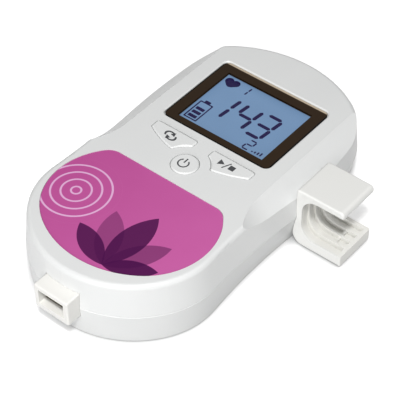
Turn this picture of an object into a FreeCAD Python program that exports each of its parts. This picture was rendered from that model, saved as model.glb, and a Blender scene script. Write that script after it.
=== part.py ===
import FreeCAD
import Part
import math
import os

# Pocket fetal doppler monitor. X runs across the keypad face, Y runs from the probe
# socket to the display end, Z rises from the table. The origin lies on the rear face,
# on the centreline of the body. All lengths are in millimetres, angles in degrees.

# ------------------------------------------------------------ housing outline
lobe_r = 38.2           # round lower end of the body, taken at the parting line
lobe_y = -33.3          # its centre
flank_in = 1.2          # how much the flanks flatten that round
shoulder_share = 0.79   # radius of the arc between round and flank, as a share of lobe_r
side_out = 0.6          # how much the long sides stand out past the round
side_y = 24.0           # where the body is widest
side_r = 164.0          # bow of the long sides
end_y = 66.6            # display end of the body
end_r = 49.0            # bow of the display end
corner_r = 24.0         # corners beside the display
waist_r = 250.0         # shallow waist between flank and side
face_in = 1.3           # lean of the front shell, taken at the face
foot_in = 3.0           # lean of the rear shell's sides, taken at the table
foot_end_in = 0.9       # lean of its two ends
parting_z = 13.4        # joint between the rear shell and the front shell
parting_edge = 0.25     # bevels that make the groove between the shells
wall = 2.0              # housing walls
floor_t = 2.2           # rear shell's floor
top_edge_r = 1.8        # rounding round the front face
foot_edge = 0.8         # bevel round the rear face
lip_h = 1.4             # tongue that centres the two shells
lip_t = 0.95
seam = 0.1              # clearance of one fixed piece in another

# ------------------------------------------------------------ side scoops
scoop_in = 8.8          # from the long side in to the straight crease on the front face
scoop_y = -3.2          # where the crease starts to curve out
scoop_end_r = 27.6      # radius of that curve
scoop_end_turn = 80.0   # how far round it goes
scoop_r = 40.0          # hollow of the scoop
scoop_dip = 44.0        # slope of the hollow at the crease
scoop_reach = 15.0      # width of the cutting profile
scoop_run_on = 10.0     # how much further the wall behind it follows the hollow

# ------------------------------------------------------------ cells, bay and door
cell_d = 14.5           # AA cell
cell_l = 50.5
nub_d = 5.5
nub_l = 1.3
can_edge = 0.5
cell_gap = 0.3
spring_l = 3.6          # contact spring, compressed
spring_r = 4.2
spring_wire = 0.7
spring_turns = 3
spring_bends = 10       # straight runs of wire in each turn
wire_sides = 6
plate_t = 0.4           # contact plates
plate_w = 11.0
bay_wall = 1.2
bay_roof = 0.9
bay_clear = 0.3         # bay corners inside the front shell's wall
door_skin = 1.2         # outer layer of the battery door
door_tongue = 1.0       # inner layer, wider, that runs in the rails
door_lap = 1.2          # reach of the tongue under the rails
door_gap = 0.15
door_end = 3.0          # from the bay to the door's near edge
rail_t = 1.1
rail_side = 1.0
grip_w = 16.0           # finger ridges in the door
grip_d = 0.4
grip_pitch = 2.2
grip_count = 5

# ------------------------------------------------------------ stack above the bay
board_gap = 0.3
board_t = 1.6
backlight_t = 2.8
lcd_t = 2.0
lcd_gap = 0.1
ledge_t = 0.8
lens_t = 0.9
lens_drop = 0.5

# ------------------------------------------------------------ display
lens_w = 47.6
lens_l = 37.8
lens_y = 28.3
lens_corner = 2.5
lens_gap = 0.25         # play round the lens
pocket_edge = 0.4       # bevel round its pocket
ledge_w = 1.8           # shelf that carries the lens
lcd_rim = 1.2           # backlight frame round the glass
glass_over = 0.5        # glass wider than the opening above it
rim_drop = 0.3

# ------------------------------------------------------------ keys and switches
key_y = -6.7            # power key
key_r = 5.1
wedge_r = 9.2           # hollow side of the wedge keys, about the power key
wedge_top = 5.2
wedge_in = 3.6
wedge_out = 22.1
wedge_tail = 1.3        # outer lower corner
wedge_low = -3.6        # inner lower corner
wedge_bow = 0.6
wedge_corner = 0.9
key_gap = 0.2
key_proud = 0.4
key_edge = 0.45
key_travel = 0.6
flange_w = 1.0
flange_t = 0.8
flange_gap = 0.2
post_r = 1.5
switch_w = 6.0
switch_h = 2.4
switch_x = 13.0
switch_y = 1.2
plunger_r = 1.7
plunger_out = 0.9
plunger_in = 1.2
plunger_fit = 0.05
plunger_spare = 0.1

# ------------------------------------------------------------ label
label_half = 32.8       # half width
label_side_r = 26.0     # round sides
label_foot_r = 38.0     # flatter lower edge
label_low = -63.6
label_top = -16.4
label_corner = 6.5
label_t = 0.5
label_drop = 0.25

# ------------------------------------------------------------ probe socket
socket_w = 15.0
socket_h = 10.9
socket_z = 9.0
socket_wall = 1.9
socket_sill = 2.6       # thicker lower wall
socket_out = 4.9        # reach in front of the body
socket_l = 16.9
socket_edge = 0.7
socket_flange = 1.5
socket_flange_t = 1.4
rib_t = 1.2
rib_side = 1.5
block_l = 3.6
pin_w = 0.7
pin_l = 9.0
pin_pitch = 2.2
pin_count = 4
pin_tail = 1.6

# ------------------------------------------------------------ probe clip
clip_y = 17.65
clip_l = 18.5
clip_foot = 0.8
clip_gap = 0.1
clip_web = 1.3
clip_root = 1.4         # reach of the web over the leaning side
clip_root_r = 1.2
clip_bore = 18.8        # between the arms, for the probe's handle
clip_depth = 17.2       # from the web to the arms' ends
clip_corner_r = 6.4     # round inner corners
clip_low = 4.6          # lower arm
clip_high = 2.4         # upper arm
clip_back_r = 4.5
clip_nose_r = 1.7
clip_edge = 0.7
groove_depth = 2.0
groove_web = 0.6        # depth of the grooves in the web
groove_top = 1.5        # from the grooves' upper ends to the upper arm
groove_rib = 0.9
groove_rim = 1.6
groove_count = 4
bridge_in = 10.5        # low bars across the two middle grooves, from the web
bridge_w = 0.9
bridge_h = 1.3
clip_boss_r = 2.4
clip_boss_z = 16.6
clip_boss_pitch = 9.0
clip_head_r = 3.2
clip_head_t = 1.5
clip_screw_l = 1.4

# ------------------------------------------------------------ volume wheel and jack
wheel_r = 8.0
wheel_t = 3.0
wheel_y = 16.0
wheel_out = 1.2
wheel_rise = 0.6
wheel_gap = 0.3
wheel_teeth = 24
wheel_tooth = 0.5       # depth of the grooves between its teeth
shaft_r = 1.5
shaft_fit = 0.05
pot_w = 7.0
keeper_r = 2.6
keeper_t = 0.9
keeper_stem = 0.6
jack_y = 34.0
jack_l = 12.0
jack_w = 6.0
jack_h = 5.2
jack_collar_r = 2.5
jack_bore_r = 1.8
jack_bore_l = 12.0

# ------------------------------------------------------------ speaker
speaker_r = 18.0
speaker_in = 35.5       # from the round end of the body to the speaker's centre
speaker_rim = 2.4
speaker_rim_t = 1.0
speaker_h = 6.0
cone_t = 0.4
cone_in = 5.0
cone_h = 3.2
magnet_r = 9.0
magnet_t = 4.5
basket_t = 0.6
nest_t = 1.2
nest_h = 2.6
slot_w = 1.6            # slots of the grille
slot_pitch = 3.4
slot_count = 9
grille_r = 15.4

# ------------------------------------------------------------ board and screws
board_side = 6.6        # from the widest part of the body to the board's edge
board_clear = 0.6
stand_r = 2.2
stand_gap = 1.0
stand_near = (24.0, -31.0)
stand_far_y = 43.5
board_screw_l = 4.0
board_screw_r = 0.9
board_head_r = 1.9
board_head_t = 1.2
column_r = 3.7
column_z = 11.0
column_gap = 0.5
boss_r = 3.0
screw_r = 1.25
screw_fit = 0.02
screw_way = 1.5
screw_l = 14.0
head_r = 2.3
head_t = 1.7
head_gap = 0.3
head_seat = 4.0
cross_w = 0.6
cross_l = 2.9
near_screw_turn = -32.0
far_screw_y = 52.0
chip_w = 14.0
chip_t = 1.6
chip_y = -22.0

# ------------------------------------------------------------ derived levels and places
door_t = door_skin + door_tongue
cell_z = door_t + cell_gap + cell_d / 2
bay_top = cell_z + cell_d / 2 + cell_gap
board_z = bay_top + bay_roof + board_gap
board_top = board_z + board_t
lcd_z = board_top + backlight_t
lcd_top = lcd_z + lcd_t
roof_z = lcd_top + lcd_gap
lens_z = roof_z + ledge_t
face_z = lens_z + lens_t + lens_drop
bay_half = cell_d + 1.5 * cell_gap
cell_x = cell_d / 2 + cell_gap / 2
bay_out = bay_half + bay_wall
bay_lean = face_in * (bay_top + bay_roof - parting_z) / (face_z - parting_z)
bay_end_r = end_r - wall - bay_clear - bay_lean
bay_y1 = end_y - end_r + math.sqrt(bay_end_r ** 2 - bay_out ** 2) - bay_wall
bay_y0 = bay_y1 - cell_l - spring_l - 2 * plate_t
door_y0 = bay_y0 - door_end
tongue_half = bay_half + door_lap
rail_half = tongue_half + door_gap + rail_side
rail_z = door_t + door_gap + rail_t
key_top = face_z + key_proud
flange_z = roof_z - flange_gap - flange_t
switch_top = board_top + switch_h
plunger_top = switch_top + plunger_out
side_x = lobe_r + side_out
scoop_x = side_x - scoop_in
clip_x = side_x + clip_gap
clip_in = clip_x + clip_web
clip_end = clip_in + clip_depth
clip_floor = clip_foot + clip_low
clip_roof = clip_floor + clip_bore
clip_top = clip_roof + clip_high
wheel_x = -(side_x + wheel_out - wheel_r)
wheel_z = parting_z + wheel_rise
pot_z = wheel_z + wheel_t + wheel_gap
jack_z = board_z - jack_h / 2
tip_y = lobe_y - lobe_r
socket_y = tip_y - socket_out
speaker_y = tip_y + speaker_in
backlight_half = lens_w / 2 - ledge_w + glass_over + seam + lcd_rim
stand_far = (backlight_half + stand_gap + stand_r, stand_far_y)
board_half = side_x - board_side
near_screw_r = lobe_r - foot_end_in - wall - column_r - column_gap
far_screw_x = rail_half + column_r + column_gap
near_screw_a = math.radians(near_screw_turn)
near_screw = (near_screw_r * math.cos(near_screw_a), lobe_y + near_screw_r * math.sin(near_screw_a))
screw_places = [near_screw, (far_screw_x, far_screw_y)]
far = 200.0             # reach of cutting tools past the body


# ------------------------------------------------------------ plain shapes
def vec(x, y, z):
    return FreeCAD.Vector(x, y, z)


def box(x0, x1, y0, y1, z0, z1):
    return Part.makeBox(x1 - x0, y1 - y0, z1 - z0, vec(x0, y0, z0))


def rod(x, y, z0, z1, r):
    return Part.makeCylinder(r, z1 - z0, vec(x, y, z0))


def rod_x(x0, x1, y, z, r):
    return Part.makeCylinder(r, x1 - x0, vec(x0, y, z), vec(1, 0, 0))


def mirrored(shape):
    return shape.mirror(vec(0, 0, 0), vec(1, 0, 0))


def pair(shape):
    """A shape and its mirror image across the centreline."""
    return [shape, mirrored(shape)]


def fuse(shapes):
    """One solid from overlapping shapes."""
    whole = shapes[0]
    for shape in shapes[1:]:
        whole = whole.fuse(shape)
    return whole.removeSplitter().Solids[0]


def prism(wire, h):
    return Part.Face(wire).extrude(vec(0, 0, h))


def upright_edges(shape):
    """Straight edges that stand along Z."""
    found = []
    for e in shape.Edges:
        if abs(e.BoundBox.ZLength - e.Length) < 1e-6 and e.Length > 1e-3:
            found.append(e)
    return found


def level_edges(shape, z):
    """Edges that lie at height z."""
    return [e for e in shape.Edges if abs(e.BoundBox.ZMin - z) < 1e-4 and abs(e.BoundBox.ZMax - z) < 1e-4]


def tile(w, length, y, z0, z1, r):
    """Plate centred on the centreline with rounded corners."""
    plate = box(-w / 2, w / 2, y - length / 2, y + length / 2, z0, z1)
    return plate.makeFillet(r, upright_edges(plate))


def turned(points, x, y):
    """Solid of revolution about the upright line through (x, y) from (radius, z) points."""
    ring = [vec(x + r, y, z) for r, z in points]
    face = Part.Face(Part.makePolygon(ring + ring[:1]))
    return face.revolve(vec(x, y, 0), vec(0, 0, 1), 360)


# ------------------------------------------------------------ housing outline
def meet(c1, r1, c2, r2, axis=1):
    """Crossing of two circles, the one further along X (0) or Y (1)."""
    dx = c2[0] - c1[0]
    dy = c2[1] - c1[1]
    d = math.hypot(dx, dy)
    a = (r1 * r1 - r2 * r2 + d * d) / (2 * d)
    h = math.sqrt(r1 * r1 - a * a)
    mid = (c1[0] + a * dx / d, c1[1] + a * dy / d)
    ends = [(mid[0] + s * h * dy / d, mid[1] - s * h * dx / d) for s in (1, -1)]
    return max(ends, key=lambda p: p[axis])


def toward(c, p, r):
    """Point at distance r from c in the direction of p."""
    d = math.hypot(p[0] - c[0], p[1] - c[1])
    return (c[0] + r * (p[0] - c[0]) / d, c[1] + r * (p[1] - c[1]) / d)


def arc_edge(c, a, b, z):
    """Arc about c from a to b, the short way round."""
    r = math.hypot(a[0] - c[0], a[1] - c[1])
    m = toward(c, ((a[0] + b[0]) / 2, (a[1] + b[1]) / 2), r)
    return Part.Arc(vec(*a, z), vec(*m, z), vec(*b, z)).toShape()


def line_edge(a, b, z):
    return Part.LineSegment(vec(*a, z), vec(*b, z)).toShape()


def outline_edges(inset, foot):
    """Right half of the plan outline: (centre, start, end) of each arc."""
    side_lean = foot_in if foot else 0.0
    end_lean = foot_end_in if foot else 0.0
    round_r = lobe_r - end_lean
    bow_r = side_r - side_lean
    top_r = end_r - end_lean
    turn_r = lobe_r * shoulder_share - end_lean
    gap = round_r - turn_r
    lobe_c = (0.0, lobe_y)
    turn_c = (gap - flank_in, lobe_y - math.sqrt(gap ** 2 - (gap - flank_in) ** 2))
    side_c = (side_x - side_r, side_y)
    end_c = (0.0, end_y - end_r)
    back_c = meet(turn_c, turn_r + waist_r, side_c, bow_r + waist_r, 0)
    corner_c = meet(side_c, bow_r - corner_r, end_c, top_r - corner_r)
    tip = (0.0, lobe_y - round_r + inset)
    turn_a = toward(lobe_c, turn_c, round_r - inset)
    turn_b = toward(turn_c, back_c, turn_r - inset)
    waist_b = toward(side_c, back_c, bow_r - inset)
    corner_a = toward(side_c, corner_c, bow_r - inset)
    corner_b = toward(end_c, corner_c, top_r - inset)
    top = (0.0, end_c[1] + top_r - inset)
    return [(lobe_c, tip, turn_a), (turn_c, turn_a, turn_b), (back_c, turn_b, waist_b),
            (side_c, waist_b, corner_a), (corner_c, corner_a, corner_b), (end_c, corner_b, top)]


def body_wire(z, inset=0.0, foot=False):
    """Closed plan outline of the housing at height z, inset by a wall."""
    right = []
    left = []
    for c, a, b in outline_edges(inset, foot):
        right.append(arc_edge(c, a, b, z))
        left.append(arc_edge((-c[0], c[1]), (-b[0], b[1]), (-a[0], a[1]), z))
    return Part.Wire(right + left[::-1])


def face_lean(z):
    """How far the front shell leans in at height z."""
    return face_in * (z - parting_z) / (face_z - parting_z)


def side_at(y, z, inset=0.0):
    """Half width of the front shell's side at y and height z."""
    return side_x - side_r + math.sqrt((side_r - face_lean(z) - inset) ** 2 - (y - side_y) ** 2)


def front_block(inset=0.0):
    """Outside of the front shell with its two side scoops."""
    top = body_wire(face_z - inset, face_in + inset)
    block = Part.makeLoft([body_wire(parting_z, inset), top], True, True)
    block = block.makeFillet(top_edge_r, level_edges(block, face_z - inset))
    for tool in pair(scoop(inset)):
        block = block.cut(tool)
    return block


def rear_block(inset=0.0):
    """Outside of the rear shell."""
    block = Part.makeLoft([body_wire(0, inset, True), body_wire(parting_z, inset)], True, True)
    return block.makeChamfer(foot_edge, level_edges(block, 0))


def scoop(depth):
    """Tool for the hollow along one side, moved depth further into the body."""
    a0 = math.radians(270 - scoop_dip)
    cx = scoop_x - scoop_r * math.cos(a0)
    cz = face_z - scoop_r * math.sin(a0)
    r = scoop_r + depth
    a1 = a0 - math.radians(scoop_run_on) if depth else a0
    x_end = scoop_x + scoop_reach
    a2 = 2 * math.pi - math.acos((x_end - cx) / r)
    am = (a1 + a2) / 2
    start, mid, end = [vec(cx + r * math.cos(a), 0, cz + r * math.sin(a)) for a in (a1, am, a2)]
    top = max(start.z, face_z) + top_edge_r
    curve = Part.Arc(start, mid, end).toShape()
    rest = Part.makePolygon([end, vec(end.x, 0, top), vec(start.x, 0, top), start])
    face = Part.Face(Part.Wire([curve] + rest.Edges))
    face.translate(vec(0, scoop_y, 0))
    run = face.extrude(vec(0, far, 0))
    axis = vec(scoop_x + scoop_end_r, scoop_y, 0)
    turn = face.revolve(axis, vec(0, 0, 1), scoop_end_turn)
    return run.fuse(turn)


# ------------------------------------------------------------ shared cut-outs
def socket_opening():
    half = socket_w / 2 + seam
    return box(-half, half, tip_y - far, rib_y() + rib_t + seam,
               socket_z - seam, socket_z + socket_h + seam)


def wheel_slot():
    half = math.sqrt(wheel_r ** 2 - (side_x - wall + wheel_x) ** 2) + wheel_gap * 2
    return box(-far, wheel_x, wheel_y - half, wheel_y + half,
               wheel_z - wheel_gap, wheel_z + wheel_t + wheel_gap)


def jack_hole():
    return rod_x(-far, -side_at(jack_y, jack_z, wall) + lip_t, jack_y, jack_z, jack_collar_r + seam)


def clip_holes():
    holes = []
    for s in (-1, 1):
        y = clip_y + s * clip_boss_pitch / 2
        holes.append(rod_x(0, far, y, clip_boss_z, clip_boss_r + seam))
    return Part.makeCompound(holes)


def side_cuts(shell):
    for tool in (socket_opening(), wheel_slot(), jack_hole(), clip_holes()):
        shell = shell.cut(tool)
    return shell


def socket_rib(z0, z1):
    """Wall that traps the socket's flange inside the shell."""
    half = socket_w / 2 + socket_flange + rib_side
    return box(-half, half, rib_y(), rib_y() + rib_t, z0, z1)


def flange_y():
    """Plane where the socket's flange meets the round wall from inside."""
    half = socket_w / 2 + socket_flange
    lean = max(face_lean(socket_z + socket_h + socket_flange), foot_end_in)
    return lobe_y - math.sqrt((lobe_r - lean - wall) ** 2 - half ** 2)


def rib_y():
    return flange_y() + socket_flange_t + seam


# ------------------------------------------------------------ keys
def wedge_under():
    """Centre and radius of the wedge key's bowed lower side."""
    low = (math.sqrt(wedge_r ** 2 - (wedge_low - key_y) ** 2), wedge_low)
    dx = wedge_out - low[0]
    dy = wedge_tail - low[1]
    d = math.hypot(dx, dy)
    r = d * d / (8 * wedge_bow) + wedge_bow / 2
    rise = r - wedge_bow
    return (low[0] + dx / 2 - rise * dy / d, low[1] + dy / 2 + rise * dx / d), r


def wedge_wire(z, grow):
    """Outline of the right-hand wedge key, hollow towards the round key."""
    hub = (0.0, key_y)
    r = wedge_r - grow
    under_c, under_r = wedge_under()
    inner_x = wedge_in - grow
    outer_x = wedge_out + grow
    top = wedge_top + grow
    inner = (inner_x, key_y + math.sqrt(r ** 2 - inner_x ** 2))
    low = meet(hub, r, under_c, under_r + grow, 0)
    tail = (outer_x, under_c[1] - math.sqrt((under_r + grow) ** 2 - (outer_x - under_c[0]) ** 2))
    edges = [line_edge((outer_x, top), (inner_x, top), z), line_edge((inner_x, top), inner, z),
             arc_edge(hub, inner, low, z), arc_edge(under_c, low, tail, z),
             line_edge(tail, (outer_x, top), z)]
    return Part.Wire(edges)


def wedge_block(z0, z1, grow):
    block = prism(wedge_wire(z0, grow), z1 - z0)
    return block.makeFillet(wedge_corner + grow, upright_edges(block))


def round_block(z0, z1, grow):
    return rod(0, key_y, z0, z1, key_r + grow)


def key_shape(block, x, y):
    """Cap, retaining flange and the post that bears on the switch."""
    cap = block(flange_z, key_top, 0)
    cap = cap.makeChamfer(key_edge, level_edges(cap, key_top))
    flange = block(flange_z, flange_z + flange_t, flange_w)
    post = rod(x, y, plunger_top, flange_z, post_r)
    return fuse([cap, flange, post])


def switch_housing(x, y):
    half = switch_w / 2
    body = box(x - half, x + half, y - half, y + half, board_top, switch_top)
    well = switch_top - plunger_in - key_travel - plunger_spare
    return body.cut(rod(x, y, well, switch_top + seam, plunger_r + plunger_fit))


def plunger(x, y):
    return rod(x, y, switch_top - plunger_in, plunger_top, plunger_r)


# ------------------------------------------------------------ front shell
def front_bosses():
    bosses = []
    for x, y in screw_places:
        boss = rod(x, y, column_z + seam, roof_z + ledge_t / 2, boss_r)
        bosses += pair(boss)
    for x, y in (stand_near, stand_far):
        stand = rod(x, y, board_top, roof_z + ledge_t / 2, stand_r)
        bosses += pair(stand)
    return bosses


def front_pilots():
    holes = []
    for x, y in screw_places:
        holes += pair(rod(x, y, column_z, head_seat + screw_l + screw_way, screw_r + screw_fit))
    for x, y in (stand_near, stand_far):
        holes += pair(rod(x, y, board_z, board_z + board_screw_l + seam, board_screw_r + screw_fit))
    return holes


def front_shell():
    block = front_block()
    block = block.makeChamfer(parting_edge, level_edges(block, parting_z))
    core = Part.makeLoft([body_wire(parting_z, wall), body_wire(roof_z, wall + face_lean(roof_z))], True, True)
    for tool in pair(scoop(wall)):
        core = core.cut(tool)
    rebate = prism(body_wire(parting_z, wall - lip_t - seam), lip_h + seam)
    shell = block.cut(core).cut(rebate)
    rib = socket_rib(parting_z + seam, roof_z + ledge_t / 2)
    shell = fuse([shell, rib] + front_bosses())
    for tool in front_pilots():
        shell = shell.cut(tool)
    shell = side_cuts(shell)
    pocket = tile(lens_w + 2 * lens_gap, lens_l + 2 * lens_gap, lens_y, lens_z, face_z + seam, lens_corner)
    bevel = lens_gap + pocket_edge
    flare = tile(lens_w + 2 * bevel, lens_l + 2 * bevel, lens_y, face_z - pocket_edge,
                 face_z + pocket_edge, lens_corner + pocket_edge)
    flare = flare.makeChamfer(pocket_edge, level_edges(flare, face_z - pocket_edge))
    opening = tile(lens_w - 2 * ledge_w, lens_l - 2 * ledge_w, lens_y, roof_z - seam, lens_z + seam,
                   lens_corner - ledge_w / 2)
    shell = shell.cut(pocket).cut(flare).cut(opening)
    shell = shell.cut(label_block(face_z - label_drop - label_t, face_z + seam, seam))
    shell = shell.cut(round_block(roof_z - seam, face_z + seam, key_gap))
    for tool in pair(wedge_block(roof_z - seam, face_z + seam, key_gap)):
        shell = shell.cut(tool)
    return shell


# ------------------------------------------------------------ rear shell
def lip():
    outer = prism(body_wire(parting_z, wall - lip_t), lip_h)
    return outer.cut(prism(body_wire(parting_z, wall), lip_h))


def column(x, y):
    """Screw column with its counterbore and clearance bore."""
    post = rod(x, y, floor_t / 2, column_z, column_r)
    post = post.cut(rod(x, y, 0, head_seat, head_r + head_gap))
    return post.cut(rod(x, y, 0, column_z + seam, screw_way))


def door_way():
    """Space the battery door slides through: its skin and the wider tongue."""
    skin = bay_half + door_gap
    tongue = tongue_half + door_gap
    outer = box(-skin, skin, door_y0 - door_gap, far, -seam, door_t + door_gap)
    near = door_y0 - door_lap - door_gap
    inner = box(-tongue, tongue, near, far, door_skin - door_gap, door_t + door_gap)
    return outer.fuse(inner)


def battery_bay():
    """Battery box with the rails of its door."""
    case = box(-bay_out, bay_out, bay_y0 - bay_wall, bay_y1 + bay_wall, floor_t / 2, bay_top + bay_roof)
    rails = box(-rail_half, rail_half, door_y0 - door_lap - door_gap - rail_side, far, 0, rail_z)
    hollow = box(-bay_half, bay_half, bay_y0, bay_y1, door_t, bay_top)
    return case.fuse(rails.common(rear_block())).cut(door_way().fuse(hollow))


def grille():
    """Slots with round ends that fill a circle in front of the speaker."""
    tools = []
    r = slot_w / 2
    for i in range(slot_count):
        rise = (i - (slot_count - 1) / 2) * slot_pitch
        half = math.sqrt(grille_r ** 2 - rise ** 2) - r
        y = speaker_y + rise
        bar = box(-half, half, y - r, y + r, -seam, floor_t + seam)
        for x in (-half, half):
            bar = bar.fuse(rod(x, y, -seam, floor_t + seam, r))
        tools.append(bar.removeSplitter())
    return Part.makeCompound(tools)


def speaker_nest():
    r = speaker_r + seam
    nest = rod(0, speaker_y, floor_t / 2, floor_t + nest_h, r + nest_t)
    return nest.cut(rod(0, speaker_y, 0, floor_t + nest_h, r))


def rear_shell():
    core = Part.makeLoft([body_wire(floor_t, wall, True), body_wire(parting_z, wall)], True, True)
    block = rear_block()
    block = block.makeChamfer(parting_edge, level_edges(block, parting_z))
    shell = block.cut(core).cut(door_way()).fuse(battery_bay())
    for x, y in screw_places:
        for hole in pair(rod(x, y, -seam, floor_t + seam, head_r + head_gap)):
            shell = shell.cut(hole)
        for post in pair(column(x, y)):
            shell = shell.fuse(post)
    for part in (lip(), speaker_nest(), socket_rib(floor_t / 2, parting_z)):
        shell = shell.fuse(part)
    return side_cuts(shell.cut(grille()).removeSplitter())


def battery_door():
    body = rear_block()
    skin = box(-bay_half, bay_half, door_y0, far, 0, door_skin).common(body)
    tongue = box(-tongue_half, tongue_half, door_y0 - door_lap, far, door_skin, door_t).common(body)
    door = fuse([skin, tongue])
    for i in range(grip_count):
        y = bay_y1 - plate_w - i * grip_pitch
        door = door.cut(box(-grip_w / 2, grip_w / 2, y, y + grip_pitch / 2, -seam, grip_d))
    return door


# ------------------------------------------------------------ cells and contacts
def cell(x, face_y, sign):
    """AA cell whose negative face lies at face_y and whose nub points along sign."""
    r = cell_d / 2
    can_l = cell_l - nub_l
    can = Part.makeCylinder(r, can_l, vec(x, face_y, cell_z), vec(0, sign, 0))
    can = can.makeChamfer(can_edge, [e for e in can.Edges if e.Closed])
    nub = Part.makeCylinder(nub_d / 2, cell_l - can_edge, vec(x, face_y + sign * can_edge, cell_z),
                            vec(0, sign, 0))
    return can.fuse(nub).removeSplitter()


def contact_spring(x, y, sign):
    """Conical wire spring from its plate at y to the cell."""
    rise = spring_l - spring_wire
    steps = spring_turns * spring_bends
    tip_r = nub_d / 2
    path = []
    for i in range(steps + 1):
        a = 2 * math.pi * i / spring_bends
        r = spring_r + (tip_r - spring_r) * i / steps
        path.append(vec(r * math.cos(a), r * math.sin(a), spring_wire / 2 + rise * i / steps))
    ring = []
    for i in range(wire_sides + 1):
        a = 2 * math.pi * i / wire_sides
        ring.append(path[0] + vec(math.cos(a), 0, math.sin(a)) * (spring_wire / 2))
    coil = Part.makePolygon(path).makePipeShell([Part.makePolygon(ring)], True, True, 1)
    coil.rotate(vec(0, 0, 0), vec(1, 0, 0), -90 * sign)
    coil.translate(vec(x, y, cell_z))
    return coil


def contact_plates():
    half = plate_w / 2
    shapes = []
    for x in (-cell_x, cell_x):
        for y in (bay_y0, bay_y1 - plate_t):
            shapes.append(box(x - half, x + half, y, y + plate_t, cell_z - half, cell_z + half))
    return Part.makeCompound(shapes)


# ------------------------------------------------------------ display stack
def lcd_size():
    w = lens_w - 2 * ledge_w + 2 * glass_over
    length = lens_l - 2 * ledge_w + 2 * glass_over
    return w, length


def display_lens():
    return tile(lens_w, lens_l, lens_y, lens_z, lens_z + lens_t, lens_corner)


def lcd_glass():
    w, length = lcd_size()
    return box(-w / 2, w / 2, lens_y - length / 2, lens_y + length / 2, lcd_z, lcd_top)


def lcd_backlight():
    w, length = lcd_size()
    half = w / 2 + seam
    run = length / 2 + seam
    frame = box(-backlight_half, backlight_half, lens_y - run - lcd_rim, lens_y + run + lcd_rim,
                board_top, lcd_top - rim_drop)
    return frame.cut(box(-half, half, lens_y - run, lens_y + run, lcd_z, lcd_top))


# ------------------------------------------------------------ board
def main_board():
    """Board between the screw bosses of the two ends."""
    reach = prism(body_wire(board_z, wall + board_clear + face_lean(board_top)), board_t)
    keep = boss_r + board_clear
    board = box(-board_half, board_half, near_screw[1] + keep, far_screw_y - keep, board_z, board_top)
    board = board.common(reach)
    for x, y in (stand_near, stand_far):
        for hole in pair(rod(x, y, board_z, board_top, board_screw_r + seam)):
            board = board.cut(hole)
    return board


def main_chip():
    half = chip_w / 2
    return box(-half, half, chip_y - half, chip_y + half, board_z - chip_t, board_z)


def cross_slot(x, y, z0, z1):
    long = cross_l / 2
    half = cross_w / 2
    bar = box(x - long, x + long, y - half, y + half, z0, z1)
    return bar.fuse(box(x - half, x + half, y - long, y + long, z0, z1))


def case_screws():
    shapes = []
    for x, y in screw_places:
        shank = rod(x, y, head_seat - seam, head_seat + screw_l, screw_r)
        head = rod(x, y, head_seat - head_t, head_seat, head_r)
        screw = head.fuse(shank).cut(cross_slot(x, y, head_seat - head_t - seam, head_seat - head_t / 2))
        shapes += pair(screw)
    return Part.makeCompound(shapes)


def board_screws():
    shapes = []
    for x, y in (stand_near, stand_far):
        head = rod(x, y, board_z - board_head_t, board_z, board_head_r)
        shank = rod(x, y, board_z - seam, board_z + board_screw_l, board_screw_r)
        shapes += pair(head.fuse(shank))
    return Part.makeCompound(shapes)


# ------------------------------------------------------------ label
def label_wire(z, grow):
    """Outline of the label: flat top edge, round sides and a flatter lower edge."""
    foot_c = (0.0, label_low + label_foot_r)
    side_cx = label_half - label_side_r
    side_cy = foot_c[1] - math.sqrt((label_foot_r - label_side_r) ** 2 - side_cx ** 2)
    top = label_top + grow
    top_x = side_cx + math.sqrt((label_side_r + grow) ** 2 - (top - side_cy) ** 2)
    join = toward(foot_c, (side_cx, side_cy), label_foot_r + grow)
    widest = (side_cx + label_side_r + grow, side_cy)
    edges = [line_edge((-top_x, top), (top_x, top), z)]
    for s in (1, -1):
        centre = (s * side_cx, side_cy)
        a, b, c = [(s * p[0], p[1]) for p in ((top_x, top), widest, join)]
        side = [arc_edge(centre, a, b, z), arc_edge(centre, b, c, z)]
        edges += side if s > 0 else side[::-1]
        if s > 0:
            edges.append(arc_edge(foot_c, join, (-join[0], join[1]), z))
    return Part.Wire(edges)


def label_block(z0, z1, grow):
    block = prism(label_wire(z0, grow), z1 - z0)
    corners = [e for e in upright_edges(block) if abs(e.CenterOfMass.y - label_top - grow) < seam]
    return block.makeFillet(label_corner, corners)


# ------------------------------------------------------------ probe socket
def socket_frame():
    half = socket_w / 2
    tube = box(-half, half, socket_y, socket_y + socket_l, socket_z, socket_z + socket_h)
    long_edges = [e for e in tube.Edges if abs(e.BoundBox.YLength - socket_l) < 1e-6]
    mouth = [e for e in tube.Edges if abs(e.BoundBox.YMax - socket_y) < 1e-6]
    tube = tube.makeFillet(socket_edge, long_edges + mouth)
    y = flange_y()
    f = socket_flange
    flange = box(-half - f, half + f, y, y + socket_flange_t, socket_z - f, socket_z + socket_h + f)
    return tube.fuse(flange).cut(socket_hollow())


def socket_hollow():
    half = socket_w / 2 - socket_wall
    return box(-half, half, socket_y - seam, socket_y + socket_l + seam,
               socket_z + socket_sill, socket_z + socket_h - socket_wall)


def pin_boxes(grow):
    pins = []
    z = socket_z + socket_h / 2
    y1 = socket_y + socket_l + pin_tail
    half = pin_w / 2 + grow
    for i in range(pin_count):
        x = (i - (pin_count - 1) / 2) * pin_pitch
        pins.append(box(x - half, x + half, y1 - pin_l, y1, z - half, z + half))
    return Part.makeCompound(pins)


def connector_block():
    half = socket_w / 2 - socket_wall
    y1 = socket_y + socket_l
    block = box(-half, half, y1 - block_l, y1, socket_z + socket_sill, socket_z + socket_h - socket_wall)
    return block.cut(pin_boxes(0))


# ------------------------------------------------------------ probe clip
def clip_corner(block, side, level):
    """Edge along Y furthest out on one side and furthest up (1) or down (-1)."""
    runs = [e for e in block.Edges if e.BoundBox.XLength < 1e-4 and e.BoundBox.ZLength < 1e-4]
    return max(runs, key=lambda e: side * e.CenterOfMass.x + level * e.CenterOfMass.z * 2)


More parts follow.
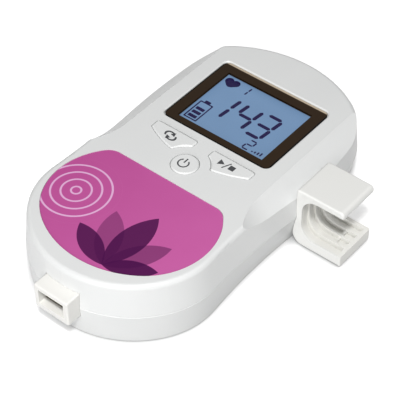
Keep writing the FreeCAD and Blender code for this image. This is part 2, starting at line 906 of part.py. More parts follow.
def clip_channel(x0, x1, y0, y1, z0, z1, levels):
    """Channel along Y with round corners next to the web, below (-1) and above (1)."""
    block = box(x0, x1, y0, y1, z0, z1)
    return block.makeFillet(clip_corner_r, [clip_corner(block, -1, level) for level in levels])


def clip_seat(y):
    """Inner face of the wall where a screw head at y bears."""
    top = clip_boss_z + clip_head_r
    return min(side_at(y - clip_head_r, top, wall), side_at(y + clip_head_r, top, wall))


def clip_body():
    """Block with its arms, hollowed and shaped to lie against the leaning side."""
    y0 = clip_y - clip_l / 2
    corners = [(clip_x - foot_in, clip_foot), (clip_end, clip_foot), (clip_end, clip_top),
               (clip_x - clip_root, clip_top), (clip_x - clip_root, parting_z)]
    profile = [vec(x, y0, z) for x, z in corners]
    block = Part.Face(Part.makePolygon(profile + profile[:1])).extrude(vec(0, clip_l, 0))
    block = block.makeFillet(clip_back_r, [clip_corner(block, -1, -1)])
    block = block.makeFillet(clip_nose_r, [clip_corner(block, 1, 1)])
    block = block.makeFillet(clip_root_r, [clip_corner(block, -1, 1)])
    rims = [e for e in block.Edges if e.BoundBox.YLength < seam]
    block = block.makeFillet(clip_edge, rims)
    block = block.cut(clip_channel(clip_in, far, y0 - seam, y0 + clip_l + seam, clip_floor, clip_roof, (-1, 1)))
    return block.cut(front_block(-clip_gap)).cut(rear_block(-clip_gap))


def clip_grooves():
    """Cored-out channels that leave ribs along the inside of the clip."""
    width = (clip_l - 2 * groove_rim - (groove_count - 1) * groove_rib) / groove_count
    floor = clip_floor - groove_depth
    tools = []
    for i in range(groove_count):
        y = clip_y - clip_l / 2 + groove_rim + i * (width + groove_rib)
        tools.append(clip_channel(clip_in - groove_web, clip_end - groove_rim, y, y + width,
                                  floor, clip_roof - groove_top, (-1,)))
    x = clip_in + bridge_in
    bridge = box(x, x + bridge_w, clip_y - clip_l, clip_y + clip_l, floor - seam, floor + bridge_h)
    middle = [tool.cut(bridge) for tool in tools[1:-1]]
    return tools[:1] + middle + tools[-1:]


def probe_clip():
    clip = clip_body()
    for tool in clip_grooves():
        clip = clip.cut(tool)
    for s in (-1, 1):
        y = clip_y + s * clip_boss_pitch / 2
        seat = clip_seat(y)
        clip = clip.fuse(rod_x(seat, clip_x + clip_web / 2, y, clip_boss_z, clip_boss_r))
        clip = clip.cut(rod_x(seat, seat + clip_screw_l, y, clip_boss_z, screw_r + screw_fit))
    return clip.removeSplitter().Solids[0]


def clip_screws():
    shapes = []
    for s in (-1, 1):
        y = clip_y + s * clip_boss_pitch / 2
        seat = clip_seat(y)
        head = rod_x(seat - clip_head_t, seat, y, clip_boss_z, clip_head_r)
        shapes.append(head.fuse(rod_x(seat - seam, seat + clip_screw_l, y, clip_boss_z, screw_r)))
    return Part.makeCompound(shapes)


# ------------------------------------------------------------ volume wheel, jack
def volume_wheel():
    wheel = rod(wheel_x, wheel_y, wheel_z, wheel_z + wheel_t, wheel_r)
    grooves = []
    for i in range(wheel_teeth):
        groove = box(-wheel_tooth, wheel_tooth, -wheel_tooth, wheel_tooth, -seam, wheel_t + seam)
        groove.rotate(vec(0, 0, 0), vec(0, 0, 1), 45)
        groove.translate(vec(wheel_r, 0, 0))
        groove.rotate(vec(0, 0, 0), vec(0, 0, 1), 360 * i / wheel_teeth)
        groove.translate(vec(wheel_x, wheel_y, wheel_z))
        grooves.append(groove)
    wheel = wheel.cut(Part.makeCompound(grooves))
    return wheel.cut(rod(wheel_x, wheel_y, wheel_z, wheel_z + wheel_t, shaft_r + shaft_fit))


def volume_pot():
    half = pot_w / 2
    base = box(wheel_x - half, wheel_x + half, wheel_y - half, wheel_y + half, pot_z, board_z)
    shaft = rod(wheel_x, wheel_y, wheel_z - wheel_gap, pot_z + seam, shaft_r)
    bore = rod(wheel_x, wheel_y, 0, pot_z, keeper_stem + screw_fit)
    return base.fuse(shaft).removeSplitter().cut(bore)


def volume_keeper():
    z = wheel_z - wheel_gap
    head = rod(wheel_x, wheel_y, z - keeper_t, z, keeper_r)
    return head.fuse(rod(wheel_x, wheel_y, z - seam, z + wheel_t / 2, keeper_stem))


def headphone_jack():
    face_x = -side_at(jack_y, jack_z)
    body_x = -side_at(jack_y, jack_z, wall) + lip_t
    body = box(body_x, body_x + jack_l, jack_y - jack_w / 2, jack_y + jack_w / 2, board_z - jack_h, board_z)
    collar = rod_x(face_x, body_x + seam, jack_y, jack_z, jack_collar_r)
    bore = rod_x(face_x, face_x + jack_bore_l, jack_y, jack_z, jack_bore_r)
    return body.fuse(collar).cut(bore)


# ------------------------------------------------------------ speaker
def speaker_frame():
    """Basket: flat rim, then a funnel up to the magnet."""
    z = floor_t
    inner = speaker_r - speaker_rim
    points = [(inner, z), (speaker_r, z), (speaker_r, z + speaker_rim_t), (magnet_r, z + speaker_h),
              (magnet_r - basket_t, z + speaker_h), (inner, z + speaker_rim_t)]
    return turned(points, 0, speaker_y)


def speaker_cone():
    z = floor_t + speaker_rim_t
    edge = speaker_r - speaker_rim
    low = z - speaker_rim_t / 2
    points = [(0, z + cone_h), (cone_in, z + cone_h), (edge, low), (edge, low + cone_t),
              (cone_in, z + cone_h + cone_t), (0, z + cone_h + cone_t)]
    return turned(points, 0, speaker_y)


def speaker_magnet():
    z = floor_t + speaker_h
    return rod(0, speaker_y, z, z + magnet_t, magnet_r)


# ------------------------------------------------------------ the pieces
def springs():
    near = bay_y0 + plate_t
    last = bay_y1 - plate_t
    return Part.makeCompound([contact_spring(-cell_x, near, 1), contact_spring(cell_x, last, -1)])


def pieces():
    wedge_mid = (switch_x, switch_y)
    left_mid = (-switch_x, switch_y)
    right_key = key_shape(wedge_block, *wedge_mid)
    near = bay_y0 + plate_t + spring_l
    last = bay_y1 - plate_t - spring_l
    return {
        "front_shell": front_shell(),
        "rear_shell": rear_shell(),
        "battery_door": battery_door(),
        "aa_cell_left": cell(-cell_x, near, 1),
        "aa_cell_right": cell(cell_x, last, -1),
        "battery_springs": springs(),
        "contact_plates": contact_plates(),
        "display_lens": display_lens(),
        "lcd_glass": lcd_glass(),
        "lcd_backlight": lcd_backlight(),
        "main_board": main_board(),
        "main_chip": main_chip(),
        "mode_key": mirrored(right_key),
        "power_key": key_shape(round_block, 0, key_y),
        "start_stop_key": right_key,
        "mode_switch": switch_housing(*left_mid),
        "power_switch": switch_housing(0, key_y),
        "start_stop_switch": switch_housing(*wedge_mid),
        "mode_plunger": plunger(*left_mid),
        "power_plunger": plunger(0, key_y),
        "start_stop_plunger": plunger(*wedge_mid),
        "label_panel": label_block(face_z - label_drop - label_t, face_z - label_drop, 0),
        "probe_socket": socket_frame(),
        "connector_block": connector_block(),
        "connector_pins": pin_boxes(0),
        "probe_clip": probe_clip(),
        "clip_screws": clip_screws(),
        "volume_wheel": volume_wheel(),
        "volume_pot": volume_pot(),
        "volume_keeper": volume_keeper(),
        "headphone_jack": headphone_jack(),
        "speaker_frame": speaker_frame(),
        "speaker_cone": speaker_cone(),
        "speaker_magnet": speaker_magnet(),
        "case_screws": case_screws(),
        "board_screws": board_screws(),
    }


os.makedirs("parts", exist_ok=True)
for name, shape in pieces().items():
    shape.exportStep("parts/" + name + ".step")
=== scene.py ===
import math

import bpy
from mathutils import Matrix, Vector


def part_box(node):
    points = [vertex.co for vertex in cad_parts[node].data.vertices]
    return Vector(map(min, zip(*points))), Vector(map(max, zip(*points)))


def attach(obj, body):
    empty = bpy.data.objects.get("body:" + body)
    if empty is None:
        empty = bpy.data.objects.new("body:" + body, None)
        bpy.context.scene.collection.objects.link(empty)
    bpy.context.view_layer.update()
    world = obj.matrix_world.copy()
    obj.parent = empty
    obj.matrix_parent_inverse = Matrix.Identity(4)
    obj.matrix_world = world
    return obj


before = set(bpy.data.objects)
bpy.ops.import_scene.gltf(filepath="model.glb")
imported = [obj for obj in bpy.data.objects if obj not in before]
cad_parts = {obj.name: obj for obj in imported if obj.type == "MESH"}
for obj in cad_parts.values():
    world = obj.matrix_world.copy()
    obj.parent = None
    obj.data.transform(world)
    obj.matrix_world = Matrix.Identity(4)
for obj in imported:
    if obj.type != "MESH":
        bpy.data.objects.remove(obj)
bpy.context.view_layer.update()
MM = 0.001


# Front shell: the upper half of the housing, one moulding in white ABS plastic.
# Its outside has the fine satin grain of the tool. It is screwed on from behind.
class Wire:
    """An output socket of a finish, so that shader maths reads as arithmetic."""

    def __init__(self, finish, socket):
        self.finish = finish
        self.socket = socket

    def math(self, operation, *terms):
        return self.finish.node("ShaderNodeMath", {"operation": operation},
                                dict(enumerate(terms)))

    def __add__(self, other):
        return self.math("ADD", self, other)

    def __sub__(self, other):
        return self.math("SUBTRACT", self, other)

    def __rsub__(self, other):
        return self.math("SUBTRACT", other, self)

    def __mul__(self, other):
        return self.math("MULTIPLY", self, other)

    def __truediv__(self, other):
        return self.math("DIVIDE", self, other)

    def __abs__(self):
        return self.math("ABSOLUTE", self)

    def __mod__(self, other):
        return self.math("FLOORED_MODULO", self, other)

    def most(self, other):
        return self.math("MAXIMUM", self, other)

    def below(self, edge, blur):
        """1 where the value is under edge, 0 where it is over, blurred over a width."""
        return self.finish.node("ShaderNodeMapRange", {"clamp": True},
                                {0: self, 1: edge - blur / 2, 2: edge + blur / 2, 3: 1.0, 4: 0.0})

    __radd__ = __add__
    __rmul__ = __mul__


class Finish:
    """One material, its nodes and the shader that they feed."""

    def __init__(self, name):
        self.material = bpy.data.materials.new(name)
        self.material.use_nodes = True
        self.nodes = self.material.node_tree.nodes
        self.shader = self.nodes["Principled BSDF"]

    def plug(self, node, inputs):
        for key, value in inputs.items():
            if isinstance(value, Wire):
                self.material.node_tree.links.new(value.socket, node.inputs[key])
            else:
                node.inputs[key].default_value = value

    def node(self, kind, settings, inputs, output=0):
        node = self.nodes.new(kind)
        for key, value in settings.items():
            setattr(node, key, value)
        self.plug(node, inputs)
        return Wire(self, node.outputs[output])

    def place(self):
        return self.node("ShaderNodeTexCoord", {}, {}, "Object")

    def noise(self, size, detail=2.0, stretch=(1, 1, 1)):
        """Soft noise from 0 to 1, with lumps of that size in metres."""
        spot = self.node("ShaderNodeMapping", {}, {0: self.place(), 3: stretch})
        return self.node("ShaderNodeTexNoise", {},
                         {"Vector": spot, "Scale": 1 / size, "Detail": detail})

    def axes(self):
        apart = self.nodes.new("ShaderNodeSeparateXYZ")
        self.plug(apart, {0: self.place()})
        return [Wire(self, out) for out in apart.outputs]

    def far(self, x, y):
        """Distance in the XY plane from a point."""
        flat = self.node("ShaderNodeVectorMath", {"operation": "MULTIPLY"},
                         {0: self.place(), 1: (1, 1, 0)})
        return self.node("ShaderNodeVectorMath", {"operation": "DISTANCE"},
                         {0: flat, 1: (x, y, 0)}, "Value")

    def blend(self, mask, low, high):
        """Colour low where the mask is 0, colour high where it is 1."""
        return self.node("ShaderNodeMix", {"data_type": "RGBA"}, {0: mask, 6: low, 7: high}, 2)

    def bump(self, height, depth):
        return self.node("ShaderNodeBump", {},
                         {"Height": height, "Distance": depth, "Strength": 1.0})

    def set(self, **values):
        self.plug(self.shader, {key.replace("_", " "): value for key, value in values.items()})
        return self

    def dress(self, *nodes):
        """Gives the finish to CAD nodes by name, or to pieces."""
        for item in nodes:
            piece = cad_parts[item] if isinstance(item, str) else item
            piece.data.materials.clear()
            piece.data.materials.append(self.material)
        return self


def tint(red, green, blue):
    """A colour written as on a screen, from 0 to 255, for the shader."""
    def linear(value):
        part = value / 255
        return part / 12.92 if part <= 0.04045 else ((part + 0.055) / 1.055) ** 2.4
    return (linear(red), linear(green), linear(blue), 1.0)


def moulded(name, colour, shade, rough=0.32, grain=0.4 * MM, depth=0.006 * MM):
    """Moulded plastic: even colour with faint flow marks and a fine grain."""
    plastic = Finish(name)
    flow = plastic.noise(18 * MM, 3.0, (1.0, 0.4, 1.0))
    fine = plastic.noise(grain, 1.0)
    plastic.set(Base_Color=plastic.blend(flow, colour, shade),
                Roughness=rough - 0.04 + fine * 0.05 + flow * 0.04,
                Normal=plastic.bump(fine, depth), Specular_IOR_Level=0.5, IOR=1.53)
    return plastic


moulded("housing_front", tint(224, 225, 224), tint(218, 219, 219)).dress("front_shell")


# Rear shell and battery door: the lower half of the housing and its sliding door, in the
# same white ABS with a coarser grain, because they lie on the table.
coarse, coarse_depth = 0.6 * MM, 0.012 * MM
moulded("housing_rear", tint(223, 224, 223), tint(216, 217, 217), 0.36,
        coarse, coarse_depth).dress("rear_shell")
moulded("door_plastic", tint(221, 222, 221), tint(213, 214, 214), 0.4,
        coarse, coarse_depth).dress("battery_door")


# Keys: three caps in white ABS, nearly flush with the face, each with its symbol pad-printed
# in dark grey ink. They ride on the plungers of their switches.
moulded("key_plastic", tint(226, 227, 226), tint(220, 221, 221), 0.3).dress(
    "mode_key", "power_key", "start_stop_key")
INK = 0.03 * MM      # thickness of a printed layer
PROUD = 0.008 * MM   # how far it stands out of the key


def start(name):
    """Opens a new, empty mesh in edit mode."""
    bpy.ops.object.select_all(action="DESELECT")
    bpy.ops.mesh.primitive_plane_add()
    piece = bpy.context.object
    piece.name = name
    bpy.ops.object.mode_set(mode="EDIT")
    bpy.ops.mesh.delete(type="VERT")
    return piece


def bar(x, y, z, length, width, turn=0.0, cut=0.0):
    """Adds a flat bar to the open mesh, with its corners cut off."""
    bpy.ops.mesh.primitive_plane_add(size=1, location=(x, y, z))
    bpy.ops.transform.resize(value=(length, width, 1), center_override=(x, y, z))
    bpy.ops.transform.rotate(value=-turn, orient_axis="Z", center_override=(x, y, z))
    if cut:
        bpy.ops.mesh.bevel(offset=cut, affect="VERTICES")


def disc(x, y, z, radius, corners=48, turn=0.0):
    """Adds a flat disc, or a shape with few corners, to the open mesh."""
    bpy.ops.mesh.primitive_circle_add(vertices=corners, radius=radius, fill_type="NGON",
                                      location=(x, y, z), rotation=(0, 0, turn))


def ring(x, y, z, radius, line, gaps=()):
    """Adds a flat ring; gaps are directions and half widths in degrees that stay open."""
    disc(x, y, z, radius, 72)
    bpy.ops.mesh.inset(thickness=line)
    bpy.ops.mesh.delete(type="FACE")
    mesh = bpy.context.edit_object
    mesh.update_from_editmode()
    bpy.ops.mesh.select_all(action="DESELECT")
    bpy.ops.object.mode_set(mode="OBJECT")
    for face in mesh.data.polygons:
        spot = face.center - Vector((x, y, z))
        around = math.degrees(math.atan2(spot.y, spot.x))
        near = [abs((around - way + 180) % 360 - 180) < half for way, half in gaps]
        face.select = spot.length < radius * 1.01 and any(near)
    bpy.ops.object.mode_set(mode="EDIT")
    bpy.ops.mesh.select_mode(type="FACE")
    bpy.ops.mesh.delete(type="FACE")


def close(piece, thick, finish, body):
    """Gives the open mesh its thickness and sets the piece on its body."""
    bpy.ops.mesh.select_all(action="SELECT")
    bpy.ops.mesh.extrude_region_move(TRANSFORM_OT_translate={"value": (0, 0, thick)})
    bpy.ops.mesh.select_all(action="SELECT")
    bpy.ops.mesh.normals_make_consistent(inside=False)
    bpy.ops.object.mode_set(mode="OBJECT")
    bpy.ops.object.transform_apply(location=True, rotation=True, scale=True)
    finish.dress(piece)
    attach(piece, body)


ink = Finish("key_ink")
ink.set(Base_Color=ink.blend(ink.noise(0.3 * MM), tint(64, 65, 68), tint(80, 81, 84)),
        Roughness=0.45 + ink.noise(0.2 * MM) * 0.15)
key_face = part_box("power_key")[1].z + PROUD - INK

arrows = start("mode_symbol")
middle = (-13.15 * MM, 1.22 * MM, key_face)
loop_radius, loop_line, loop_turn = 2.0 * MM, 0.6 * MM, math.radians(20)
loop_stretch = (1.48, 0.98, 1)
ring(*middle, loop_radius, loop_line, [(72, 20), (252, 20)])
bpy.ops.mesh.select_all(action="SELECT")
bpy.ops.transform.resize(value=loop_stretch, center_override=middle)
bpy.ops.transform.rotate(value=loop_turn, orient_axis="Z", center_override=middle)
head_across, head_up, head_radius = 0.6 * MM, 1.06 * MM, 1.2 * MM
for side in (-1, 1):
    disc(middle[0] + side * head_across, middle[1] + side * head_up, key_face, head_radius, 3,
         math.radians(-45 - 90 * side))
close(arrows, INK, ink, "mode_key")

on_off = start("power_symbol")
on_off_x, on_off_y, on_off_line = -0.55 * MM, -6.85 * MM, 0.55 * MM
on_off_radius, stroke_rise, stroke = 2.25 * MM, 1.45 * MM, 2.4 * MM
ring(on_off_x, on_off_y, key_face, on_off_radius, on_off_line, [(90, 36)])
bar(on_off_x, on_off_y + stroke_rise, key_face, on_off_line, stroke)
close(on_off, INK, ink, "power_key")

play = start("start_stop_symbol")
play_x, slash_x, stop_x, play_y = 9.45 * MM, 12.05 * MM, 14.35 * MM, 1.6 * MM
play_rise, play_radius, play_turn = 0.08 * MM, 1.65 * MM, math.radians(-90)
slash_length, slash_line, slash_turn = 4.1 * MM, 0.48 * MM, math.radians(65)
stop_w, stop_h = 2.3 * MM, 2.25 * MM
disc(play_x, play_y + play_rise, key_face, play_radius, 3, play_turn)
bar(slash_x, play_y, key_face, slash_length, slash_line, slash_turn)
bar(stop_x, play_y, key_face, stop_w, stop_h)
close(play, INK, ink, "start_stop_key")


# Display window: a clear acrylic plate with a dark brown border printed behind it, held
# in the recess of the front shell with adhesive tape.
window = Finish("window_acrylic")
x, y = window.axes()[:2]
opening_x, opening_low, opening_high = 19.15 * MM, 12.5 * MM, 42.5 * MM
outside = (abs(x) - opening_x).most(opening_low - y).most(y - opening_high)
clear = outside.below(0.0, 0.08 * MM)
corner_x, corner_y = 22.0 * MM, 11.2 * MM
rim_square, rim_blur = 1.9e-6, 0.5e-6  # square of the corner's radius in metres, and its blur
unprinted_y = 46.4 * MM
border = window.blend(window.noise(6 * MM), tint(44, 31, 18), tint(50, 37, 24))
over_x, over_y = (abs(x) - corner_x).most(0.0), (corner_y - y).most(0.0)
within_rim = (over_x * over_x + over_y * over_y).below(rim_square, rim_blur)
# Painted light: beyond the print's far edge the plate is painted opaque tan, standing in for the
# lit far wall of the recess seen through the unprinted edge.
printed = y.below(unprinted_y, 0.3 * MM)
# Painted shade: outside the rounded rim the plate's edge is painted near black, standing in for
# the shadow in the gap round the plate in its recess.
border_and_painted_gap_shade = window.blend(within_rim, tint(9, 7, 6), border)
window.set(Base_Color=window.blend(printed, tint(190, 174, 152), border_and_painted_gap_shade),
           Alpha=1.0 - clear * 0.93, Roughness=0.1 + window.noise(9 * MM) * 0.03, IOR=1.49,
           Specular_IOR_Level=0.35)
window.dress("display_lens")


# Display: the liquid crystal panel, lit in blue from behind, and the parts of the glass
# that are switched on: three large and two small digits, a heart, and bars for the
# battery's charge and the signal.
panel = Finish("display_panel")
x, y = panel.axes()[:2]
glow = panel.noise(12 * MM, 1.0)
panel_y, panel_half_w, panel_half_h = 28 * MM, 22 * MM, 17 * MM
centre = (abs(x) / panel_half_w).most(abs(y - panel_y) / panel_half_h).below(0.9, 0.5)
backlight = panel.blend(glow * 0.6 + centre * 0.4, tint(111, 142, 178), tint(118, 149, 186))
panel.set(Base_Color=panel.blend(glow, tint(70, 90, 113), tint(76, 97, 121)),
          Emission_Color=backlight,
          Emission_Strength=0.8, Roughness=0.3 + glow * 0.05)
panel.dress("lcd_glass")
glass_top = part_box("lcd_glass")[1].z

lit = Finish("display_segment")
lit.set(Base_Color=lit.blend(lit.noise(2 * MM), tint(34, 28, 78), tint(44, 36, 92)),
        Roughness=0.3 + lit.noise(1 * MM) * 0.05)
LEAN = math.radians(-5.5)
SEGMENTS = {"1": "bc", "2": "abged", "3": "abgcd", "4": "fgbc"}


def digit(name, value, x, y, wide, high, line):
    """A digit of up to seven bars that lean a little; x and y are its centre."""
    piece = start(name)
    flat = wide - line * 0.5
    tall = high / 2 - line * 0.5
    cut = line * 0.42
    spots = {"a": (0, 2, 0), "g": (0, 0, 0), "d": (0, -2, 0), "f": (-1, 1, 1), "b": (1, 1, 1),
             "e": (-1, -1, 1), "c": (1, -1, 1)}
    for letter in SEGMENTS[value]:
        side, level, upright = spots[letter]
        rise = level * high / 4
        across = x + side * wide / 2 - math.tan(LEAN) * rise
        if upright:
            bar(across, y + rise, glass_top, tall, line, math.radians(90) + LEAN, cut)
        else:
            bar(across, y + rise, glass_top, flat, line, 0.0, cut)
    close(piece, INK, lit, "base")


large_y, large_w, large_h, large_line = 28.25 * MM, 6.35 * MM, 12.6 * MM, 1.5 * MM
small_line = 0.62 * MM
digit("digit_hundreds", "1", -10.6 * MM, large_y, large_w, large_h, large_line)
digit("digit_tens", "4", -0.45 * MM, large_y, large_w, large_h, large_line)
digit("digit_units", "3", 8.1 * MM, large_y, large_w, large_h, large_line)
digit("digit_channel", "2", 9.95 * MM, 17.35 * MM, 2.7 * MM, 5.0 * MM, small_line)
digit("digit_memory", "1", -9.4 * MM, 40.0 * MM, 2.6 * MM, 4.5 * MM, small_line)

charge = start("battery_symbol")
case_x, case_y, case_w, case_h = -15.8 * MM, 20.15 * MM, 5.9 * MM, 10.5 * MM
case_line, case_corner = 0.55 * MM, 0.2 * MM
cap_x, cap_y, cap_w, cap_h = -15.9 * MM, 25.95 * MM, 2.5 * MM, 1.25 * MM
level_x, level_y, level_w, level_h = -15.85 * MM, 16.75 * MM, 3.7 * MM, 1.5 * MM
level_pitch, level_corner = 2.3 * MM, 0.12 * MM
bar(case_x, case_y, glass_top, case_w, case_h, 0.0, case_corner)
bpy.ops.mesh.inset(thickness=case_line)
bpy.ops.mesh.delete(type="FACE")
bar(cap_x, cap_y, glass_top, cap_w, cap_h, 0.0, case_corner)
for step in range(3):
    bar(level_x, level_y + level_pitch * step, glass_top, level_w, level_h, 0.0, level_corner)
close(charge, INK, lit, "base")

signal = start("signal_symbol")
signal_x, signal_foot, signal_w, signal_pitch = 12.7 * MM, 15.0 * MM, 0.6 * MM, 1.2 * MM
signal_low, signal_growth = 0.6 * MM, 0.4 * MM
for step in range(4):
    high = signal_low + signal_growth * step
    bar(signal_x + signal_pitch * step, signal_foot + high / 2, glass_top, signal_w, high)
close(signal, INK, lit, "base")


def half_heart(name, side):
    """One lobe of the heart, drawn out to its tip."""
    piece = start(name)
    heart_x = -15.87
    for off, y, radius in ((1.45, 40.65, 1.75), (0.5, 39.0, 1.2), (0.0, 37.75, 0.25)):
        disc((heart_x + side * off) * MM, y * MM, glass_top, radius * MM)
    bpy.ops.mesh.select_all(action="SELECT")
    bpy.ops.mesh.extrude_region_move(TRANSFORM_OT_translate={"value": (0, 0, INK)})
    bpy.ops.mesh.select_all(action="SELECT")
    bpy.ops.mesh.convex_hull()
    bpy.ops.mesh.normals_make_consistent(inside=False)
    bpy.ops.object.mode_set(mode="OBJECT")
    bpy.ops.object.transform_apply(location=True, rotation=True, scale=True)
    return piece


heart = half_heart("heart_symbol", -1)
lobe = half_heart("heart_lobe", 1)
union = heart.modifiers.new("union", "BOOLEAN")
union.operation = "UNION"
union.solver = "EXACT"
union.object = lobe
bpy.ops.object.select_all(action="DESELECT")
bpy.context.view_layer.objects.active = heart
bpy.ops.object.modifier_apply(modifier="union")
bpy.data.objects.remove(lobe)
lit.dress(heart)
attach(heart, "base")


# Label: a printed polycarbonate panel with rounded corners, glued into its recess. The
# print is a pink ground with pale ripples and a spray of purple leaves.
label = Finish("label_print")
x = label.axes()[0]
label_w = 60 * MM
ground = label.blend((x / label_w + 0.5) * 0.7 + label.noise(14 * MM) * 0.3,
                     tint(181, 77, 144), tint(196, 95, 161))
ripple_x, ripple_y = -21 * MM, -40 * MM
ripple_pitch, ripple_line, ripple_reach = 3.6 * MM, 0.35 * MM, 15 * MM
away = label.far(ripple_x, ripple_y)
waves = abs(away % ripple_pitch - ripple_pitch / 2).below(ripple_line, 0.2 * MM)
waves = waves * away.below(ripple_reach, 2 * MM)
art = label.blend(waves * 0.75, ground, tint(230, 190, 225))


def leaf(x, y, length, width, turn):
    """A leaf between two arcs; x and y are its foot and turn its direction."""
    radius = (length ** 2 + width ** 2) / (4 * width)
    way = math.radians(turn)
    mask = None
    for side in (-1, 1):
        offset = side * (radius - width / 2)
        centre_x = x + length / 2 * math.cos(way) - offset * math.sin(way)
        centre_y = y + length / 2 * math.sin(way) + offset * math.cos(way)
        inside = label.far(centre_x * MM, centre_y * MM).below(radius * MM, 0.12 * MM)
        mask = inside if mask is None else mask * inside
    return mask


for length, turn, shade in ((25, 120, 0.5), (28, 88, 0.92), (21, 152, 0.92), (24, 56, 0.6),
                            (19, 28, 0.95)):
    art = label.blend(leaf(9.0, -60.5, length, length * 0.38, turn) * shade, art,
                      tint(70, 4, 70))
label.set(Base_Color=art, Roughness=0.36 + label.noise(1.2 * MM) * 0.06,
          Normal=label.bump(label.noise(0.35 * MM), 0.002 * MM), IOR=1.58, Specular_IOR_Level=0.18)
label.dress("label_panel")


# Probe socket: a rectangular shroud in white ABS that stands out of the rounded end. Its hollow
# has painted light near the mouth and painted shade, in brown, from 3 mm in; the nylon
#  block at its end, which holds four gilt pins, is given the same brown.
socket = moulded("socket_plastic", tint(234, 232, 227), tint(229, 227, 222), 0.34)
x, y, z = socket.axes()
mouth_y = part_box("probe_socket")[0].y
mouth_z, mouth_half_w, mouth_half_h, mouth_white = 14.8 * MM, 5.8 * MM, 3.4 * MM, 3.3 * MM
hollow = abs(x).below(mouth_half_w, 0.1 * MM) * abs(z - mouth_z).below(mouth_half_h, 0.1 * MM)
painted_depth_shade = hollow * (1 - y.below(mouth_y + mouth_white, 0.6 * MM))
# Painted light: the front of the hollow is painted lighter than the outside, with a little random
# tone.
shroud = socket.blend(hollow * 0.9 + socket.noise(18 * MM) * 0.1,
                      tint(229, 228, 224), tint(248, 247, 242))
# Painted shade: this brown darkens the deep inside of the socket, and the connector block takes it
# too.
brown = tint(98, 82, 62)
socket.set(Base_Color=socket.blend(painted_depth_shade, shroud, brown))
socket.dress("probe_socket")
moulded("connector_nylon", brown, tint(88, 74, 56), 0.5, 0.3 * MM).dress("connector_block")


def metal(name, colour, shade, rough=0.28, lines=(1, 1, 1)):
    """Rolled or turned metal, with fine lines along one axis where it has them."""
    sheet = Finish(name)
    grain = sheet.noise(0.6 * MM, 2.0, lines)
    return sheet.set(Base_Color=sheet.blend(grain, colour, shade), Metallic=1.0,
                     Roughness=rough + grain * 0.12, Normal=sheet.bump(grain, 0.003 * MM))


metal("pin_gilt", tint(214, 178, 96), tint(230, 196, 120), 0.22).dress("connector_pins")


# Probe clip: a half-round holder for the probe in white ABS with ribs inside, screwed
# to the right-hand side from within.
clip = moulded("clip_plastic", tint(228, 228, 225), tint(221, 221, 218), 0.3)
y, z = clip.axes()[1:]
low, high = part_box("probe_clip")
# Painted light: the inside of the clip, behind its near face and below its upper arm, is painted
# lighter than the rest, with a little random tone.
face_depth, arm_drop = 0.5 * MM, 6 * MM
behind_face = (low.y + face_depth - y).below(0.0, 0.4 * MM)
inside = behind_face * z.below(high.z - arm_drop, 4 * MM)
clip.set(Base_Color=clip.blend(inside * 0.8 + clip.noise(8 * MM) * 0.1,
                               tint(228, 228, 225), tint(233, 232, 227)))
clip.dress("probe_clip")
metal("screw_zinc", tint(176, 178, 182), tint(196, 198, 202), 0.3).dress(
    "clip_screws", "case_screws", "board_screws", "volume_keeper")


# Volume wheel and headphone jack: a grooved wheel in grey ABS on the shaft of its
# potentiometer, and a black jack, both soldered to the board at the left-hand side.
moulded("wheel_plastic", tint(120, 122, 126), tint(108, 110, 114), 0.45).dress("volume_wheel")
moulded("jack_nylon", tint(28, 28, 30), tint(38, 38, 40), 0.42, 0.3 * MM).dress(
    "headphone_jack", "volume_pot")


# Main board: green glass-epoxy with tracks under its solder mask, one black chip, the
# key switches with their plungers, and the light guide under the display.
board = Finish("board_mask")
x, y = board.axes()[:2]
track_half, track_blur = 0.25 * MM, 0.05 * MM
along = abs(x % (2.4 * MM) - 1.2 * MM).below(track_half, track_blur)
across = abs(y % (3.1 * MM) - 1.5 * MM).below(track_half, track_blur)
along = along * board.noise(9 * MM).below(0.5, 0.02)
across = across * board.noise(11 * MM).below(0.45, 0.02)
track = along.most(across)
board.set(Base_Color=board.blend(track, tint(22, 84, 52), tint(44, 118, 74)),
          Roughness=0.35 + track * 0.1, Normal=board.bump(track, 0.03 * MM))
board.dress("main_board")
moulded("chip_epoxy", tint(30, 30, 32), tint(40, 40, 42), 0.55, 0.2 * MM).dress("main_chip")
moulded("switch_nylon", tint(36, 36, 38), tint(46, 46, 48), 0.5).dress(
    "mode_switch", "power_switch", "start_stop_switch")
moulded("plunger_plastic", tint(206, 206, 204), tint(196, 196, 194), 0.4).dress(
    "mode_plunger", "power_plunger", "start_stop_plunger")
moulded("guide_acrylic", tint(225, 232, 238), tint(215, 224, 232), 0.2).dress("lcd_backlight")


# Batteries: two AA cells in printed shrink sleeves, between wire springs and plates of
# nickelled steel in the bay of the rear shell.
sleeve = Finish("cell_sleeve")
y = sleeve.axes()[1]
band_y, band_half = 30 * MM, 16 * MM
band = abs(y - band_y).below(band_half, 0.2 * MM)
sleeve.set(Base_Color=sleeve.blend(band, tint(176, 120, 52), tint(34, 34, 38)),
           Metallic=0.6 - band * 0.5, Roughness=0.3 + sleeve.noise(3 * MM) * 0.06)
sleeve.dress("aa_cell_left", "aa_cell_right")
metal("contact_nickel", tint(190, 190, 186), tint(208, 208, 204), 0.25).dress(
    "battery_springs", "contact_plates")


# Speaker: a pressed steel basket with a black paper cone and a ferrite magnet, set in
# the ring behind the grille.
metal("basket_steel", tint(150, 152, 156), tint(170, 172, 176), 0.35).dress("speaker_frame")
moulded("cone_paper", tint(30, 29, 28), tint(42, 41, 39), 0.8,
        0.5 * MM, 0.05 * MM).dress("speaker_cone")
moulded("magnet_ferrite", tint(52, 52, 54), tint(64, 64, 66), 0.6,
        0.3 * MM, 0.02 * MM).dress("speaker_magnet")


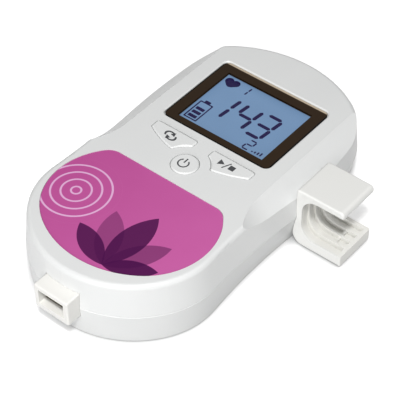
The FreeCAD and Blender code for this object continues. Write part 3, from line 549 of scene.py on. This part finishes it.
# Studio: a plain white floor under four square lamps round the front, with the camera
# above the right-hand front corner.
azimuth, elevation = math.radians(39.0896), math.radians(44.8679)
back = Vector((math.sin(azimuth) * math.cos(elevation),
               -math.cos(azimuth) * math.cos(elevation),
               math.sin(elevation)))
right = Vector((math.cos(azimuth), math.sin(azimuth), 0))
up = back.cross(right)
aim = Vector((-1.9719, 4.1219, 0)) * MM
distance = 550.691
spot = aim + back * distance * MM
camera = bpy.data.objects.new("camera", bpy.data.cameras.new("camera"))
bpy.context.scene.collection.objects.link(camera)
camera.data.lens = 135
camera.data.sensor_width = 36
camera.matrix_world = Matrix(((right.x, up.x, back.x, spot.x), (right.y, up.y, back.y, spot.y),
                              (right.z, up.z, back.z, spot.z), (0, 0, 0, 1)))
bpy.context.scene.camera = camera

bpy.ops.object.select_all(action="DESELECT")
floor_gap = 0.02 * MM
bpy.ops.mesh.primitive_plane_add(size=6, location=(0, 0, -floor_gap))
floor = bpy.context.object
floor.name = "floor"
paper = Finish("floor_white")
path = paper.nodes.new("ShaderNodeLightPath")
seen = Wire(paper, path.outputs["Is Camera Ray"]).most(Wire(paper, path.outputs["Is Glossy Ray"]))
seen = seen.most(Wire(paper, path.outputs["Is Transmission Ray"]))
plain = paper.node("ShaderNodeBsdfDiffuse", {}, {0: tint(165, 165, 165)})
contact_shade = 0.7
contact = paper.node("ShaderNodeAmbientOcclusion", {"samples": 16}, {"Distance": 4.5 * MM}, "AO")
bright = paper.node("ShaderNodeBsdfDiffuse", {}, {0: (1, 1, 1, 1)})
lamp = paper.node("ShaderNodeEmission", {}, {1: 0.32})
both = paper.node("ShaderNodeAddShader", {}, {0: bright, 1: lamp})
lightness = contact * contact_shade + (1 - contact_shade)
shaded = paper.node("ShaderNodeMixShader", {}, {0: lightness, 2: both})
shown = paper.node("ShaderNodeMixShader", {}, {0: seen, 1: plain, 2: shaded})
paper.plug(paper.nodes["Material Output"], {0: shown})
paper.dress(floor)

world = bpy.data.worlds.new("studio")
bpy.context.scene.world = world
world.use_nodes = True
nodes, links = world.node_tree.nodes, world.node_tree.links
ambient = nodes["Background"]
ambient.inputs[0].default_value = (1, 1, 1, 1)
ambient.inputs[1].default_value = 0.2
white = nodes.new("ShaderNodeBackground")
white.inputs[1].default_value = 1.0
rays = nodes.new("ShaderNodeLightPath")
pick = nodes.new("ShaderNodeMixShader")
links.new(rays.outputs["Is Camera Ray"], pick.inputs[0])
links.new(ambient.outputs[0], pick.inputs[1])
links.new(white.outputs[0], pick.inputs[2])
links.new(pick.outputs[0], nodes["World Output"].inputs[0])


def softbox(name, sideways, forward, height, size, power):
    """A square lamp that looks at the monitor; sideways and forward as the camera sees them."""
    front = Vector((back.x, back.y, 0)).normalized()
    lamp = bpy.data.objects.new(name, bpy.data.lights.new(name, "AREA"))
    bpy.context.scene.collection.objects.link(lamp)
    lamp.location = aim + right * sideways + front * forward + Vector((0, 0, height))
    lamp.rotation_euler = (lamp.location - aim).to_track_quat("Z", "Y").to_euler()
    lamp.data.size = size
    lamp.data.energy = power


softbox("key_light", 0.0, 0.48, 0.78, 0.1, 4.8)
softbox("side_light", -0.32, 0.68, 0.27, 0.4, 3.15)
softbox("top_light", 0.3, 0.0, 0.8, 0.5, 1.1)
softbox("fill_light", 0.6, 0.6, 0.25, 0.5, 0.45)

bpy.context.scene.view_settings.view_transform = "Standard"
